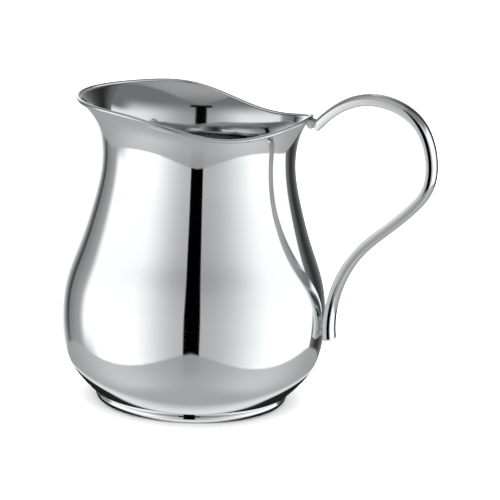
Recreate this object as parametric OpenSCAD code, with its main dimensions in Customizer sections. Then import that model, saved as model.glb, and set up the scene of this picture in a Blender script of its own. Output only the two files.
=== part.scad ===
// Cream jug: a pot-bellied metal vessel with a flared mouth cut to a wave, a pouring
// lip on one side, a loop handle of flat-backed bar on the other, and a low foot ring.
// Millimetres. The foot stands on z = 0, the handle points along +X and the lip along -X.

/* [Body] */
// Largest radius of the belly
belly_radius = 38; // [34:0.5:42]
// Smallest radius, at the neck
neck_radius = 27.6; // [25:0.1:31]
// Radius that the mouth's flare reaches above the pouring lip
flare_radius = 36.6; // [34:0.1:40]
// Radius of the flat base, where the body meets the foot
base_radius = 26.3; // [24:0.1:29]
// Thickness of the metal sheet
wall = 0.8; // [0.6:0.1:1.4]

/* [Mouth] */
// Height of the mouth's edge over the pouring lip
lip_height = 87.5; // [84:0.1:89]
// How far the edge dips beside the handle, below the lip
dip = 6.8; // [3:0.1:9]
// Radius of the rounded wire that finishes the edge
rim_wire_radius = 0.6; // [0.4:0.05:1.2]

/* [Foot] */
// Outer radius of the foot ring at its widest
foot_radius = 27.65; // [24:0.05:31]
// Inner radius of the foot ring
foot_inner_radius = 24.4; // [20:0.1:26]

/* [Handle] */
// Width of the handle bar, across the jug
bar_width = 6.8; // [4:0.1:9]
// Thickness of the handle bar, from its flat back to its crown
bar_thickness = 3.1; // [2:0.1:5]

/* [Fineness] */
// Pieces in a full turn of the round parts
round_steps = 144; // [72:12:240]
// Steps along each span of the outline
curve_steps = 5; // [3:1:10]
// Pieces along the handle bar
bar_steps = 60; // [30:10:100]

/* [Hidden] */
pot = [0.80, 0.81, 0.83];
bright = [0.72, 0.75, 0.80];
joint_tint = [0.60, 0.60, 0.62];

// Control points of the smooth curve down the body's outside, [radius, height].
flank = [
    [base_radius - 6.2, 0.2],
    [base_radius + 0.2, 1.0],
    [base_radius + 5.0, 5.9],
    [belly_radius - 1.5, 11.6],
    [belly_radius + 0.4, 22.4],
    [belly_radius - 0.3, 35.0],
    [belly_radius - 4.9, 45.8],
    [neck_radius + 2.3, 57.0],
    [neck_radius - 0.2, 67.4],
    [neck_radius + 0.2, 76.1],
    [flare_radius - 6.6, 82.8],
    [flare_radius, 88.7],
    [flare_radius + 9.4, 96.5]
];

// Control points of the mouth's edge seen from the side, [x, z]: level over the lip,
// down to the dip, and up again at the handle.
edge = [
    [-52, lip_height + 1.5],
    [-39, lip_height],
    [-26, lip_height - 0.2],
    [-13, lip_height + 0.1],
    [0, lip_height - dip / 2],
    [13, lip_height - dip - 0.4],
    [26, lip_height - dip + 1.1],
    [39, lip_height + 0.3],
    [52, lip_height + 10.7]
];

// Control points of the middle line of the handle bar, [x, z], from tip to toe.
grip = [
    [23.1, 65.4], [32.9, 83.3], [43.9, 91.8], [54.9, 91.5], [63.9, 86.3], [67.6, 76.2],
    [67.2, 67.2], [62.8, 61.5], [55.5, 54.7], [46.7, 47.4], [41.0, 35.7], [39.4, 22.3],
    [44.5, 6.3]
];

// ---- curves -------------------------------------------------------------------

// Point, and direction, of a uniform cubic B-spline with control points c, at s from 0
// to len(c) - 3.
function on_curve(c, s) =
    let (i = min(floor(s), len(c) - 4), t = s - i)
    (pow(1 - t, 3) * c[i] + (3 * t * t * t - 6 * t * t + 4) * c[i + 1]
     + (-3 * t * t * t + 3 * t * t + 3 * t + 1) * c[i + 2] + t * t * t * c[i + 3]) / 6;

function heading(c, s) =
    let (
        i = min(floor(s), len(c) - 4),
        t = s - i,
        v = -pow(1 - t, 2) * c[i] + (3 * t * t - 4 * t) * c[i + 1]
            + (-3 * t * t + 2 * t + 1) * c[i + 2] + t * t * c[i + 3]
    )
    v / norm(v);

// The unit direction square to the curve, on its left.
function leftward(c, s) = let (u = heading(c, s)) [-u[1], u[0]];

function beside(c, s, d) = on_curve(c, s) + d * leftward(c, s);

// Points beside the curve by d, n for each span, between s = a and s = b.
function run(c, n, d = 0, a = 0, b = -1) =
    let (last = b < 0 ? len(c) - 3 : b, k = ceil((last - a) * n))
    [for (i = [0:k]) beside(c, a + (last - a) * i / k, d)];

function backwards(list) = [for (i = [len(list) - 1:-1:0]) list[i]];

// ---- body ---------------------------------------------------------------------

base_height = on_curve(flank, 0)[1];
floor_top = base_height + wall;
edge_line = run(edge, 8);

// Everything above the wavy edge, run right across the mouth.
module above_mouth() {
    rotate([90, 0, 0])
        linear_extrude(height = 90, center = true)
            polygon(concat(edge_line, [[60, 100], [-60, 100]]));
}

module body() {
    color(pot)
        difference() {
            rotate_extrude($fn = round_steps)
                polygon(concat(
                    [[0, base_height]],
                    run(flank, curve_steps),
                    backwards([for (p = run(flank, curve_steps, wall)) if (p[1] > floor_top + 0.3) p]),
                    [[base_radius - 0.1, floor_top], [0, floor_top]]
                ));
            above_mouth();
        }
}

// ---- rim wire -----------------------------------------------------------------

// Middle of the sheet from the neck up, as height against radius.
sheet_middle = [for (p = run(flank, 10, wall / 2, 7)) [p[1], p[0]]];

// Radius of the mouth at angle a, where the flare meets the wavy edge.
function mouth_radius(a, r = 32, n = 14) =
    n == 0 ? r
    : mouth_radius(a, (r + lookup(lookup(r * cos(a), edge_line), sheet_middle)) / 2, n - 1);

function mouth_point(a) =
    let (r = mouth_radius(a))
    [r * cos(a), r * sin(a), lookup(r * cos(a), edge_line)];

// A closed tube of ring-shaped sections; rows go round the tube, columns along it.
function closed_tube_faces(n, m) = [
    for (i = [0:n - 1], j = [0:m - 1])
        let (i2 = (i + 1) % n, j2 = (j + 1) % m)
        each [[i * m + j, i * m + j2, i2 * m + j2], [i * m + j, i2 * m + j2, i2 * m + j]]
];

module rim_wire() {
    n = 150;
    m = 10;
    mids = [for (i = [0:n - 1]) mouth_point(i * 360 / n)];
    rings = [
        for (i = [0:n - 1])
            let (
                t = mids[(i + 1) % n] - mids[(i + n - 1) % n],
                along = t / norm(t),
                a = i * 360 / n,
                radial = [cos(a), sin(a), 0],
                o = radial - (radial * along) * along,
                out = o / norm(o),
                up = cross(out, along)
            )
            for (j = [0:m - 1])
                mids[i] + rim_wire_radius * (cos(j * 360 / m) * out + sin(j * 360 / m) * up)
    ];
    color(bright)
        polyhedron(points = rings, faces = closed_tube_faces(n, m), convexity = 6);
}

// ---- foot ring ----------------------------------------------------------------

// A collar under the base: rounded from the floor to its widest, then drawn in a little up
// to the body, which it clears by a hair outside the flat of the base.
bead_depth = 1.95;
bead_height = 1.45;

module foot_ring() {
    color(bright)
        rotate_extrude($fn = round_steps)
            polygon(concat(
                [[foot_inner_radius, 0.35], [foot_inner_radius + 0.35, 0]],
                [
                    for (a = [-90:10:20])
                        [foot_radius - bead_depth * (1 - cos(a)), bead_height * (1 + sin(a))]
                ],
                [
                    beside(flank, 0.2, -0.03),
                    [base_radius - 0.1, base_height],
                    [foot_inner_radius + 0.4, base_height],
                    [foot_inner_radius, base_height - 0.5]
                ]
            ));
}

// ---- handle -------------------------------------------------------------------

half_w = bar_width / 2;
half_t = bar_thickness / 2;
// The bar is cut off this far along the grip's first span.
tip_cut = 0.08;

// Section of the bar, [across, outward]: flat back with rounded corners, then three arcs a
// side that run into each other: a side that leans in slightly, a tight shoulder, a low crown.
lean = [2, 16];
brow = 58;
side_radius = 6.8;
shoulder_radius = 0.45;
crown_radius = (half_w - side_radius * (cos(lean[0]) - cos(lean[1]))
                - shoulder_radius * (cos(lean[1]) - cos(brow))) / cos(brow);

// Where the arc of radius r ends when it starts at p and turns from a to b.
function swung(p, r, a, b) = p + r * [cos(b) - cos(a), sin(b) - sin(a)];

crest = [0, half_t];
brow_point = swung(crest, crown_radius, 90, brow);
lean_top = swung(brow_point, shoulder_radius, brow, lean[1]);
lean_foot = swung(lean_top, side_radius, lean[1], lean[0]);
corner_radius = lean_foot[1] + half_t;

half_section = concat(
    [for (a = [-90, -50, -15]) swung(lean_foot, corner_radius, lean[0], a)],
    [for (a = [lean[0]:7:lean[1]]) swung(lean_top, side_radius, lean[1], a)],
    [for (a = [30:14:brow]) swung(brow_point, shoulder_radius, brow, a)],
    [for (a = [69:10.5:80]) swung(crest, crown_radius, 90, a)]
);
section = concat(half_section, [crest], backwards([for (q = half_section) [-q[0], q[1]]]));

// Middle points of the bar, each with its outward direction.
bar_line = [
    for (i = [0:bar_steps])
        let (s = tip_cut + i * (len(grip) - 3 - tip_cut) / bar_steps)
        [on_curve(grip, s), leftward(grip, s)]
];

// One section placed at a point of the bar, scaled by s about its middle.
function placed(p, out, s) = [
    for (q = section)
        [p[0] + s * q[1] * out[0], s * q[0], p[1] + s * q[1] * out[1]]
];

function tube_sides(n, m) = [
    for (i = [0:n - 2], j = [0:m - 1])
        let (j2 = (j + 1) % m)
        each [[i * m + j, i * m + j2, (i + 1) * m + j2], [i * m + j, (i + 1) * m + j2, (i + 1) * m + j]]
];

module handle() {
    n = len(bar_line);
    m = len(section);
    // The two ends are eased over their last 0.4 mm, so the cut corners are rounded.
    first = bar_line[0];
    last = bar_line[n - 1];
    tip = first[0] + 0.4 * [-first[1][1], first[1][0]];
    toe = last[0] + 0.4 * [last[1][1], -last[1][0]];
    points = concat(
        placed(tip, first[1], 0.86),
        [for (b = bar_line) each placed(b[0], b[1], 1)],
        placed(toe, last[1], 0.86)
    );
    rows = n + 2;
    color(pot)
        polyhedron(
            points = points,
            faces = concat(
                tube_sides(rows, m),
                [[for (j = [m - 1:-1:0]) j]],
                [[for (j = [0:m - 1]) (rows - 1) * m + j]]
            ),
            convexity = 6
        );
}

// ---- joints -------------------------------------------------------------------

// Brazed bead that holds the handle's tip under the heel of the mouth.
module upper_joint() {
    color(joint_tint)
        translate([32.5, 0, 83.2])
            rotate([90, 0, 0])
                cylinder(h = 4.4, r = 1.25, center = true, $fn = 24);
}

// Thin brazed pad that fills the gap between the belly and the handle's flat toe.
module lower_joint() {
    gap = 0.85;
    low = 3.02;
    high = 3.46;
    color(joint_tint)
        rotate([0, 0, -4.4])
            rotate_extrude(angle = 8.8, $fn = round_steps * 2)
                polygon(concat(run(flank, 9, 0, low, high), backwards(run(flank, 9, -gap, low, high))));
}

body();
rim_wire();
foot_ring();
handle();
upper_joint();
lower_joint();
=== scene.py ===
"""Looks of the cream jug: polished sheet-metal pot with a wired edge, foot ring and bar handle."""
from math import cos, hypot, pi, radians, sin

import bpy
from mathutils import Matrix, Vector


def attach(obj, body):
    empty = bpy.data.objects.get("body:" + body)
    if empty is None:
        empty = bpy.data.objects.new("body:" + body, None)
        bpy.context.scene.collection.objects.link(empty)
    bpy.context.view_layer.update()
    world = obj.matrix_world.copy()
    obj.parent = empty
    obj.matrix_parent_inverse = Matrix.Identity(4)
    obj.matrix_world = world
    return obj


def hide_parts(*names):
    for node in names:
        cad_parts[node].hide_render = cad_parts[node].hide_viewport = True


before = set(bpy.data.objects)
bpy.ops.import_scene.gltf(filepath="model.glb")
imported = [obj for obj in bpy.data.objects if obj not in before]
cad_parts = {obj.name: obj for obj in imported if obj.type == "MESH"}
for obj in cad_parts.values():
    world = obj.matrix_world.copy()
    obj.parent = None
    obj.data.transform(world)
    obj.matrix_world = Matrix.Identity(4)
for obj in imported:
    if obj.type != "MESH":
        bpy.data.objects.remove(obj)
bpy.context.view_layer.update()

MM = 0.001

# ---- sizes, in millimetres, the same as the part's ------------------------------

BELLY = 38.0  # radii of the pot, outside
NECK = 27.6
FLARE = 36.6
BASE = 26.3
WALL = 0.8
LIP = 87.5  # height of the mouth's edge at the lip, and how far it dips beside the handle
DIP = 6.8
WIRE = 0.6  # radius of the rim wire
FOOT = 27.65
FOOT_IN = 24.4
BEAD_DEEP = 1.95  # half axes of the foot's rounded outside
BEAD_HIGH = 1.45
BAR_W = 6.8
BAR_T = 3.1

FLANK = [
    (BASE - 6.2, 0.2), (BASE + 0.2, 1.0), (BASE + 5.0, 5.9), (BELLY - 1.5, 11.6), (BELLY + 0.4, 22.4),
    (BELLY - 0.3, 35.0), (BELLY - 4.9, 45.8), (NECK + 2.3, 57.0), (NECK - 0.2, 67.4), (NECK + 0.2, 76.1),
    (FLARE - 6.6, 82.8), (FLARE, 88.7), (FLARE + 9.4, 96.5),
]
SEAM = 7  # station on FLANK, at the neck, above which the skin stretches to reach the wavy edge
EDGE_STEP = 13
EDGE = [
    (-4 * EDGE_STEP, LIP + 1.5), (-3 * EDGE_STEP, LIP), (-2 * EDGE_STEP, LIP - 0.2),
    (-EDGE_STEP, LIP + 0.1), (0, LIP - DIP / 2), (EDGE_STEP, LIP - DIP - 0.4),
    (2 * EDGE_STEP, LIP - DIP + 1.1), (3 * EDGE_STEP, LIP + 0.3), (4 * EDGE_STEP, LIP + 10.7),
]
GRIP = [
    (23.1, 65.4), (32.9, 83.3), (43.9, 91.8), (54.9, 91.5), (63.9, 86.3), (67.6, 76.2),
    (67.2, 67.2), (62.8, 61.5), (55.5, 54.7), (46.7, 47.4), (41.0, 35.7), (39.4, 22.3), (44.5, 6.3),
]
TIP_CUT = 0.08  # where on GRIP the bar starts

ROUND = 320  # points round the pot and the foot


# ---- curves ---------------------------------------------------------------------

def spline(c, s):
    """Point and unit direction of a uniform cubic B-spline at s, from 0 to len(c) - 3."""
    i = max(0, min(int(s), len(c) - 4))
    t = s - i
    w = ((1 - t) ** 3, 3 * t ** 3 - 6 * t * t + 4, -3 * t ** 3 + 3 * t * t + 3 * t + 1, t ** 3)
    v = (-(1 - t) ** 2, 3 * t * t - 4 * t, -3 * t * t + 2 * t + 1, t * t)
    p = [sum(w[k] * c[i + k][n] for k in range(4)) / 6 for n in (0, 1)]
    d = [sum(v[k] * c[i + k][n] for k in range(4)) for n in (0, 1)]
    m = hypot(*d)
    return p, (d[0] / m, d[1] / m)


def beside(c, s, gap):
    """The point at distance gap to the left of the spline."""
    p, d = spline(c, s)
    return p[0] - gap * d[1], p[1] + gap * d[0]


def edge_height(x):
    """Height of the mouth's edge at x. The control points are evenly spaced, so s follows from x."""
    return spline(EDGE, (x - EDGE[1][0]) / EDGE_STEP)[0][1]


def edge_station(angle, gap):
    """Where the skin at that gap meets the wavy edge, as a station on FLANK."""
    low, high = SEAM, len(FLANK) - 3
    for _ in range(30):
        mid = (low + high) / 2
        r, z = beside(FLANK, mid, gap)
        if z < edge_height(r * cos(angle)):
            low = mid
        else:
            high = mid
    return low


def swung(p, r, a, b):
    """Where the arc of radius r ends when it starts at p and turns from a to b degrees."""
    a, b = radians(a), radians(b)
    return p[0] + r * (cos(b) - cos(a)), p[1] + r * (sin(b) - sin(a))


# ---- meshes ---------------------------------------------------------------------

def make(name, points, faces, sharp):
    """A mesh object in metres, smooth but for edges sharper than that many degrees."""
    mesh = bpy.data.meshes.new(name)
    mesh.from_pydata([[c * MM for c in p] for p in points], [], faces)
    mesh.validate()
    mesh.polygons.foreach_set("use_smooth", [True] * len(mesh.polygons))
    mesh.set_sharp_from_angle(angle=radians(sharp))
    obj = bpy.data.objects.new(name, mesh)
    bpy.context.scene.collection.objects.link(obj)
    return obj


def tube(rings, closed_along=False):
    """Faces between rings that all have the same number of points; rings close on themselves."""
    m, n = len(rings[0]), len(rings)
    points = [p for ring in rings for p in ring]
    faces = []
    for i in range(n if closed_along else n - 1):
        a, b = i * m, (i + 1) % n * m
        faces += [(a + j, a + (j + 1) % m, b + (j + 1) % m, b + j) for j in range(m)]
    return points, faces


def capped_tube(rings):
    """The same, closed with one face at each end."""
    points, faces = tube(rings)
    m = len(rings[0])
    last = (len(rings) - 1) * m
    faces.append(tuple(range(m - 1, -1, -1)))
    faces.append(tuple(last + j for j in range(m)))
    return points, faces


def lathe(profile, n):
    """Rings of n points for each (radius, height)."""
    return [[(r * cos(2 * pi * j / n), r * sin(2 * pi * j / n), z) for j in range(n)] for r, z in profile]


def body_mesh():
    """The pot: flat base, outer skin, cut edge, inner skin and floor, as one run of rings."""
    base = spline(FLANK, 0)[0][1]
    top = base + WALL
    angles = [2 * pi * j / ROUND for j in range(ROUND)]
    even_rings, stretched_rings = 70, 34
    floor_starts = 8

    def skin(gap, first):
        rings = []
        for k in range(first, even_rings):
            r, z = beside(FLANK, SEAM * k / even_rings, gap)
            rings.append([(r * cos(a), r * sin(a), z) for a in angles])
        ends = [edge_station(a, gap) for a in angles]
        for k in range(stretched_rings + 1):
            ring = []
            for a, end in zip(angles, ends):
                r, z = beside(FLANK, SEAM + (end - SEAM) * k / stretched_rings, gap)
                ring.append((r * cos(a), r * sin(a), z))
            rings.append(ring)
        return rings

    outside = skin(0, 0)
    inside = skin(WALL, floor_starts)
    # The floor of the pot runs into its wall on a short curve.
    wall_foot = SEAM * floor_starts / even_rings
    r0, z0 = beside(FLANK, wall_foot, WALL)
    d0 = spline(FLANK, wall_foot)[1]
    bend = r0 - d0[0] * (z0 - top) / d0[1]
    start = bend - 3.0
    corner_rings = 9
    corner = []
    for k in range(1, corner_rings):
        t = k / corner_rings
        corner.append((
            (1 - t) ** 2 * start + 2 * t * (1 - t) * bend + t * t * r0,
            (1 - t) ** 2 * top + 2 * t * (1 - t) * top + t * t * z0,
        ))
    flat_in = [(r, top) for r in (0.4, 4, 9, 14, 19, start)]
    flat_out = [(r, base) for r in (0.4, 6, 12, 18, 23, 25.4)]
    rings = lathe(flat_out, ROUND) + outside + inside[::-1] + lathe((flat_in + corner)[::-1], ROUND)
    pot = make("pot", *capped_tube(rings), 50)
    # The second material, dimmed as painted shade, starts on the inside, just past the cut edge of the
    # sheet.
    inner = (len(flat_out) + len(outside)) * ROUND
    for face in pot.data.polygons:
        face.material_index = int(min(face.vertices) >= inner)
    return pot


def rim_mesh():
    """A round wire along the middle of the sheet's edge, right round the mouth."""
    n, m = 360, 20
    turns = [2 * pi * j / n for j in range(n)]
    mids = []
    for a in turns:
        r, z = beside(FLANK, edge_station(a, WALL / 2), WALL / 2)
        mids.append(Vector((r * cos(a), r * sin(a), z)))
    rings = []
    for i, (a, p) in enumerate(zip(turns, mids)):
        along = (mids[(i + 1) % n] - mids[i - 1]).normalized()
        radial = Vector((cos(a), sin(a), 0))
        out = (radial - radial.dot(along) * along).normalized()
        up = out.cross(along)
        rings.append([
            tuple(p + WIRE * (cos(2 * pi * j / m) * out + sin(2 * pi * j / m) * up)) for j in range(m)
        ])
    return make("mouth_wire", *tube(rings, True), 60)


def foot_mesh():
    """A collar, rounded from the floor to its widest, drawn in a little up to the body."""
    base = spline(FLANK, 0)[0][1]
    steps = 31
    outline = [(FOOT_IN, 0.35), (FOOT_IN + 0.1, 0.1), (FOOT_IN + 0.35, 0)]
    for k in range(steps + 1):
        a = radians(-90 + 110 * k / steps)
        outline.append((FOOT - BEAD_DEEP * (1 - cos(a)), BEAD_HIGH * (1 + sin(a))))
    outline += [
        beside(FLANK, 0.2, -0.03), (BASE - 0.1, base), (FOOT_IN + 0.4, base), (FOOT_IN, base - 0.5),
    ]
    return make("foot", *tube(lathe(outline, ROUND), True), 50)


def bar_section():
    """Flat back, sides that lean in, tight shoulders and a low crown, as (across, outward)."""
    w, t = BAR_W / 2, BAR_T / 2
    low, high, brow, side, shoulder = 2, 16, 58, 6.8, 0.45
    c = [cos(radians(a)) for a in (low, high, brow)]
    crown = (w - side * (c[0] - c[1]) - shoulder * (c[1] - c[2])) / c[2]
    brow_point = swung((0, t), crown, 90, brow)
    top = swung(brow_point, shoulder, brow, high)
    foot = swung(top, side, high, low)
    corner = foot[1] + t
    half = [swung(foot, corner, low, -90 + (90 + low) * k / 6) for k in range(6)]
    half += [swung(top, side, high, low + (high - low) * k / 8) for k in range(8)]
    half += [swung(brow_point, shoulder, brow, high + (brow - high) * k / 8) for k in range(8)]
    half += [swung((0, t), crown, 90, brow + (90 - brow) * k / 10) for k in range(10)]
    return half + [(0, t)] + [(-x, y) for x, y in reversed(half)]


def bar_mesh():
    """The section swept along GRIP, with slightly eased ends."""
    section = bar_section()
    steps, cap_steps = 240, 5
    last = len(GRIP) - 3
    ease, drawn_in = 0.4, 0.14

    def ring(p, d, k):
        return [(p[0] - k * q[1] * d[1], k * q[0], p[1] + k * q[1] * d[0]) for q in section]

    rings = [ring(*spline(GRIP, TIP_CUT + (last - TIP_CUT) * i / steps), 1) for i in range(steps + 1)]
    caps = []
    for s, sign in ((TIP_CUT, -1), (last, 1)):
        p, d = spline(GRIP, s)
        cap = []
        for k in range(1, cap_steps + 1):
            a = pi / 2 * k / cap_steps
            shift = sign * ease * sin(a)
            cap.append(ring((p[0] + shift * d[0], p[1] + shift * d[1]), d, 1 - drawn_in * (1 - cos(a))))
        caps.append(cap)
    return make("grip", *capped_tube(caps[0][::-1] + rings + caps[1]), 50)


def bead_mesh():
    """The braze that holds the bar's tip: a short round lug with eased ends."""
    centre = Vector((32.5, 0, 83.2))
    r, half, ease, n = 1.25, 2.2, 0.3, 28
    profile = [(0.02, -half)]
    for k in range(5):
        a = pi / 2 * k / 4
        profile.append((r - ease + ease * sin(a), -half + ease - ease * cos(a)))
    profile += [(q, -y) for q, y in reversed(profile)]
    rings = [
        [(centre.x + q * cos(2 * pi * j / n), y, centre.z + q * sin(2 * pi * j / n)) for j in range(n)]
        for q, y in profile
    ]
    return make("tip_braze", *tube(rings), 50)


def pad_mesh():
    """The braze between the belly and the bar's flat toe."""
    low, high = 3.02, 3.46  # stations on FLANK
    spread, bite, gap = radians(4.4), 0.05, 0.85
    n = 12
    across = [-spread + 2 * spread * k / n for k in range(n + 1)]
    rings = []
    for i in range(n + 1):
        ring = []
        for offset, angles in ((bite, across), (-gap, across[::-1])):
            r, z = beside(FLANK, low + (high - low) * i / n, offset)
            ring += [(r * cos(a), r * sin(a), z) for a in angles]
        rings.append(ring)
    return make("toe_braze", *capped_tube(rings), 50)


# ---- materials ------------------------------------------------------------------

TINT = (0.915, 0.942, 0.954)
SMUDGED_TINT = (0.892, 0.919, 0.931)


def nodes_of(name):
    """A new material, its nodes and its links."""
    mat = bpy.data.materials.new(name)
    mat.use_nodes = True
    return mat, mat.node_tree.nodes, mat.node_tree.links


def silver(name, low, high, bright=1.0, lines=0.012, dents=0.0):
    """Metal with roughness from low to high, faint lathe lines, smudges and fine scratches."""
    mat, nodes, links = nodes_of(name)
    bsdf = nodes["Principled BSDF"]
    bsdf.inputs["Metallic"].default_value = 1.0
    coord = nodes.new("ShaderNodeTexCoord").outputs["Object"]

    def noise(scale, detail, stretch=(1, 1, 1), turn=(0, 0, 0)):
        mapping = nodes.new("ShaderNodeMapping")
        mapping.inputs["Scale"].default_value = stretch
        mapping.inputs["Rotation"].default_value = turn
        links.new(coord, mapping.inputs["Vector"])
        tex = nodes.new("ShaderNodeTexNoise")
        tex.inputs["Scale"].default_value = scale
        tex.inputs["Detail"].default_value = detail
        links.new(mapping.outputs["Vector"], tex.inputs["Vector"])
        return tex.outputs["Fac"]

    def span(x, lo, hi, a, b):
        node = nodes.new("ShaderNodeMapRange")
        links.new(x, node.inputs["Value"])
        for key, v in (("From Min", lo), ("From Max", hi), ("To Min", a), ("To Max", b)):
            node.inputs[key].default_value = v
        return node.outputs["Result"]

    def bump(height, strength, distance):
        node = nodes.new("ShaderNodeBump")
        node.inputs["Strength"].default_value = strength
        node.inputs["Distance"].default_value = distance
        links.new(height, node.inputs["Height"])
        return node

    smudge = noise(55, 5)
    scratch = noise(130, 3, (1, 1, 14), (0.5, 0.35, 0))
    rough = nodes.new("ShaderNodeMath")
    rough.operation = "ADD"
    links.new(span(smudge, 0.35, 0.72, low, high), rough.inputs[0])
    links.new(span(scratch, 0.66, 0.76, 0.0, 0.05), rough.inputs[1])
    links.new(rough.outputs[0], bsdf.inputs["Roughness"])
    tint = nodes.new("ShaderNodeMix")
    tint.data_type = "RGBA"
    tint.inputs["A"].default_value = (*(c * bright for c in TINT), 1)
    tint.inputs["B"].default_value = (*(c * bright for c in SMUDGED_TINT), 1)
    links.new(smudge, tint.inputs["Factor"])
    links.new(tint.outputs["Result"], bsdf.inputs["Base Color"])
    surface = bump(noise(90, 2, (1, 1, 60)), lines, 0.0002)
    if dents:
        lumps = bump(noise(900, 4), dents, 0.0006)
        links.new(surface.outputs["Normal"], lumps.inputs["Normal"])
        surface = lumps
    links.new(surface.outputs["Normal"], bsdf.inputs["Normal"])
    return mat


# ---- pieces ---------------------------------------------------------------------

outside_metal = silver("polished_silver", 0.03, 0.06)
# Inside the pot the colour is dimmed to 0.77: painted shade of the hollow, on a slightly rougher finish.
inside_metal_painted_shade = silver("satin_inside_painted_shade", 0.045, 0.08, 0.77, 0.02)
# The wire is satin-rough, and its colour is dimmed to 0.86: painted shade that tones down its bright look.
wire_metal_painted_shade = silver("satin_wire_painted_shade", 0.16, 0.24, 0.86)
bar_metal = silver("polished_bar", 0.04, 0.08, 0.98)
braze = silver("braze_silver", 0.22, 0.42, 0.80, 0.03, 0.5)
for maker, node, slot, looks in (
    (body_mesh, "body", "polished_metal", (outside_metal, inside_metal_painted_shade)),
    (rim_mesh, "rim_wire", "polished_metal", (wire_metal_painted_shade,)),
    (foot_mesh, "foot_ring", "polished_metal", (outside_metal,)),
    (bar_mesh, "handle", "polished_metal", (bar_metal,)),
    (bead_mesh, "upper_joint", "braze_metal", (braze,)),
    (pad_mesh, "lower_joint", "braze_metal", (braze,)),
):
    piece = maker()
    for look in looks:
        piece.data.materials.append(look)
    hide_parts(node)
    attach(piece, "root")

# ---- camera ---------------------------------------------------------------------

AZIMUTH, ELEVATION, ROLL = radians(13.07), radians(13.25), radians(2.14)
AIM = Vector((15.18, 3.52, 44.35))
DISTANCE = 700.0
LENS, SENSOR = 175.48, 36

back = Vector((sin(AZIMUTH) * cos(ELEVATION), -cos(AZIMUTH) * cos(ELEVATION), sin(ELEVATION)))
level = Vector((cos(AZIMUTH), sin(AZIMUTH), 0))
tall = back.cross(level)
right = cos(ROLL) * level + sin(ROLL) * tall
up = cos(ROLL) * tall - sin(ROLL) * level
cam = bpy.data.cameras.new("camera")
cam.lens = LENS
cam.sensor_width = SENSOR
cam.clip_start = 0.01
camera = bpy.data.objects.new("camera", cam)
turn = Matrix((right, up, back)).transposed().to_4x4()
camera.matrix_world = Matrix.Translation((AIM + DISTANCE * back) * MM) @ turn
bpy.context.scene.collection.objects.link(camera)
bpy.context.scene.camera = camera

# ---- surroundings, painted by direction -----------------------------------------

SCREEN_GAMMA, PAINT_LIGHT = 2.2, 1.33  # turn a screen tone into light
MATT_LIGHT = 3.0  # what matt things get
BLACK = 0.02

bpy.context.scene.view_settings.view_transform = "Standard"
world = bpy.data.worlds.new("studio")
bpy.context.scene.world = world
world.use_nodes = True
world_nodes, world_links = world.node_tree.nodes, world.node_tree.links
world_nodes.clear()


def value(x, socket):
    """Put a number or an output on a socket."""
    if isinstance(x, (int, float)):
        socket.default_value = x
    else:
        world_links.new(x, socket)


def calc(operation, *xs):
    node = world_nodes.new("ShaderNodeMath")
    node.operation = operation
    for x, socket in zip(xs, node.inputs):
        value(x, socket)
    return node.outputs[0]


def times(a, b):
    return calc("MULTIPLY", a, b)


def plus(a, b):
    return calc("ADD", a, b)


def minus(a, b):
    return calc("SUBTRACT", a, b)


def line(x, lo, hi, a, b, kind="LINEAR"):
    """a below lo, b above hi, straight between."""
    node = world_nodes.new("ShaderNodeMapRange")
    node.interpolation_type = kind
    for key, v in (("Value", x), ("From Min", lo), ("From Max", hi), ("To Min", a), ("To Max", b)):
        value(v, node.inputs[key])
    return node.outputs["Result"]


def ramp(x, lo, hi, a=0.0, b=1.0):
    """a below lo, b above hi, smooth between."""
    return line(x, lo, hi, a, b, "SMOOTHSTEP")


def mix(f, a, b):
    """a where f is 0, b where f is 1."""
    return plus(times(a, minus(1.0, f)), times(b, f))


def dot(v, axis):
    node = world_nodes.new("ShaderNodeVectorMath")
    node.operation = "DOT_PRODUCT"
    world_links.new(v, node.inputs[0])
    node.inputs[1].default_value = axis
    return node.outputs["Value"]


norm = world_nodes.new("ShaderNodeVectorMath")
norm.operation = "NORMALIZE"
world_links.new(world_nodes.new("ShaderNodeTexCoord").outputs["Generated"], norm.inputs[0])
direction = norm.outputs["Vector"]
side = dot(direction, level)
front = dot(direction, (sin(AZIMUTH), -cos(AZIMUTH), 0))
# Degrees to the right of the camera, up from level, and to either side of the camera.
az = times(calc("ARCTAN2", side, front), 180 / pi)
el = times(calc("ARCSINE", dot(direction, (0, 0, 1))), 180 / pi)
wide = calc("ABSOLUTE", az)
# From 0 in front, over 1 at a side, back to 0 behind.
arch = calc("SINE", times(calc("MINIMUM", wide, 150.0), pi / 150))


# Each of these gives a tone as it looks on a screen.

def ceiling_tone():
    """Dim walls run up to a ceiling whose near edge is arched over each panel."""
    top = plus(41.0, times(arch, 23.0))
    return mix(ramp(minus(el, top), -1.5, 1.5), 0.49, ramp(el, 42, 78, 0.54, 0.68))


def left_tone():
    """A tall light panel, then a grey screen with a narrow dark joint, then light at the back."""
    panel = ramp(wide, 7, 58, 0.715, 1.04)
    screen = times(ramp(az, -117, -105, 0.585, 1.0), line(az, -134, -117, 0.80, 1.0))
    screen = times(screen, ramp(az, -138.5, -134.5, 0.5, 1.0))
    return mix(ramp(az, -140, -138), line(az, -160, -139, 1.04, 0.27), times(panel, screen))


def gap_tone(ceiling):
    """The dark gap that ends the right panel, and light that comes round again at the back."""
    gap = calc("POWER", line(az, 142, 180, 0.0, 1.0), 1.3)
    gap = plus(times(gap, 0.6), ramp(az, 129, 142, 0.42, 0.20))
    return mix(ramp(el, 36, 56), gap, ceiling)


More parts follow.
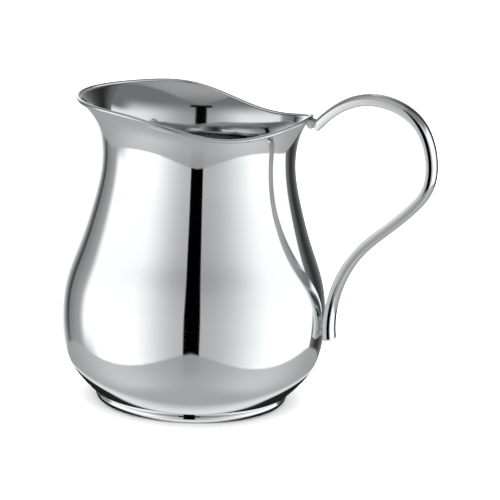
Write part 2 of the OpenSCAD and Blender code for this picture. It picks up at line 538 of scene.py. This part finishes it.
def walls_tone():
    """Two panels, brighter away from the camera, dimmer at their tops and upper far corners."""
    ceiling = ceiling_tone()
    is_right = calc("GREATER_THAN", az, 0.0)
    walls = mix(is_right, left_tone(), ramp(az, 8, 80, 0.685, 1.04))
    walls = times(walls, line(el, 0, 27, 1.0, 0.94))
    walls = mix(times(ramp(wide, 88, 116), ramp(el, 18, 28)), walls, 0.47)
    walls = mix(times(ramp(az, -112, -88, 1.0, 0.0), ramp(el, -29, -12, 1.0, 0.0)), walls, 0.60)
    walls = mix(ramp(el, 18, 46), walls, ceiling)
    walls = mix(ramp(az, 125.5, 128.5), walls, gap_tone(ceiling))
    # The camera stands in the black slot between the panels, under the end of a cross bar.
    slot = times(ramp(wide, 6.4, 7.4, 1.0, 0.0), ramp(el, 39, 41, 1.0, 0.0))
    bar = times(ramp(el, 34.5, 35.5, 0.0, 1.0), ramp(el, 39, 41, 1.0, 0.0))
    bar = times(ramp(wide, 13, 15, 1.0, 0.0), bar)
    return mix(calc("MAXIMUM", slot, bar), walls, BLACK)


def table_tone():
    """A grey table, with painted light under the panels and a little painted shade under the slot."""
    lit = times(times(calc("POWER", arch, 2.0), 0.13), ramp(el, -74, -50))
    table = plus(ramp(el, -45, -20, 0.645, 0.61), lit)
    return plus(table, times(ramp(wide, 4, 11, -0.03, 0.0), ramp(el, -50, -30)))


# The table's far edge is lower at the sides.
bend = calc("SINE", times(calc("MINIMUM", wide, 125.0), pi / 125))
horizon = minus(-19.5, times(calc("POWER", bend, 1.3), 11.4))
below = ramp(minus(el, horizon), -1.0, 0.3, 1.0, 0.0)
sky = mix(below, walls_tone(), table_tone())
sky = times(calc("POWER", sky, SCREEN_GAMMA), PAINT_LIGHT)
# Matt things get an even light, and the open background is white.
path = world_nodes.new("ShaderNodeLightPath")
sky = mix(path.outputs["Is Diffuse Ray"], sky, MATT_LIGHT)
sky = mix(path.outputs["Is Camera Ray"], sky, 1.0)
background = world_nodes.new("ShaderNodeBackground")
world_links.new(sky, background.inputs["Strength"])
world_out = world_nodes.new("ShaderNodeOutputWorld")
world_links.new(background.outputs[0], world_out.inputs["Surface"])

# ---- floor, shade and lamp, in metres -------------------------------------------


def flat(name, outline):
    """One level face with that outline."""
    mesh = bpy.data.meshes.new(name)
    mesh.from_pydata([(x, y, 0) for x, y in outline], [], [tuple(range(len(outline)))])
    obj = bpy.data.objects.new(name, mesh)
    bpy.context.scene.collection.objects.link(obj)
    return obj


def pale_floor():
    """Dull and nearly white. The metal sees the painted table instead."""
    mat, nodes, _ = nodes_of("pale_floor")
    bsdf = nodes["Principled BSDF"]
    bsdf.inputs["Base Color"].default_value = (0.9, 0.9, 0.9, 1)
    bsdf.inputs["Roughness"].default_value = 1.0
    bsdf.inputs["Specular IOR Level"].default_value = 0.0
    return mat


SHADE = 0.0390  # radius of the jug's own shadow on the table
SHADE_REACH = 1.15  # of the disc that carries it and its light edge, in shadow radii
SET_BACK = 0.0124  # of the shadow's middle, away from the camera


def shade_on_table():
    """Dark, then a light edge, then nothing, by distance from the middle."""
    mat, nodes, links = nodes_of("shade_on_table")
    nodes.remove(nodes["Principled BSDF"])
    distance = nodes.new("ShaderNodeVectorMath")
    distance.operation = "LENGTH"
    links.new(nodes.new("ShaderNodeTexCoord").outputs["Object"], distance.inputs[0])

    def round_ramp(lo, hi, a, b):
        node = nodes.new("ShaderNodeMapRange")
        node.interpolation_type = "SMOOTHSTEP"
        links.new(distance.outputs["Value"], node.inputs["Value"])
        for key, v in (("From Min", lo * SHADE), ("From Max", hi * SHADE), ("To Min", a), ("To Max", b)):
            node.inputs[key].default_value = v
        return node.outputs["Result"]

    glow = nodes.new("ShaderNodeEmission")
    links.new(round_ramp(0.99, 1.02, 0.016, 0.8), glow.inputs["Strength"])
    blend = nodes.new("ShaderNodeMixShader")
    links.new(round_ramp(1.03, 1.13, 0.0, 1.0), blend.inputs["Fac"])
    links.new(glow.outputs[0], blend.inputs[1])
    links.new(nodes.new("ShaderNodeBsdfTransparent").outputs[0], blend.inputs[2])
    links.new(blend.outputs[0], nodes["Material Output"].inputs["Surface"])
    return mat


FLOOR_REACH = 3.0
floor = flat("floor", [(FLOOR_REACH * x, FLOOR_REACH * y) for x, y in ((-1, -1), (1, -1), (1, 1), (-1, 1))])
floor.visible_glossy = False
floor.data.materials.append(pale_floor())

# Only reflections meet the shade. It lies just above the floor.
turns = [2 * pi * k / 96 for k in range(96)]
shade = flat("shade", [(SHADE_REACH * SHADE * cos(a), SHADE_REACH * SHADE * sin(a)) for a in turns])
shade.location = (-SET_BACK * sin(AZIMUTH), SET_BACK * cos(AZIMUTH), 0.0001)
shade.visible_camera = False
shade.visible_diffuse = False
shade.visible_shadow = False
shade.data.materials.append(shade_on_table())

lamp_data = bpy.data.lights.new("overhead", "AREA")
lamp_data.shape = "DISK"
lamp_data.size = 1.6
lamp_data.energy = 1
lamp = bpy.data.objects.new("overhead", lamp_data)
lamp.location = (0, 0, 1.2)
lamp.visible_glossy = False
lamp.visible_camera = False
bpy.context.scene.collection.objects.link(lamp)
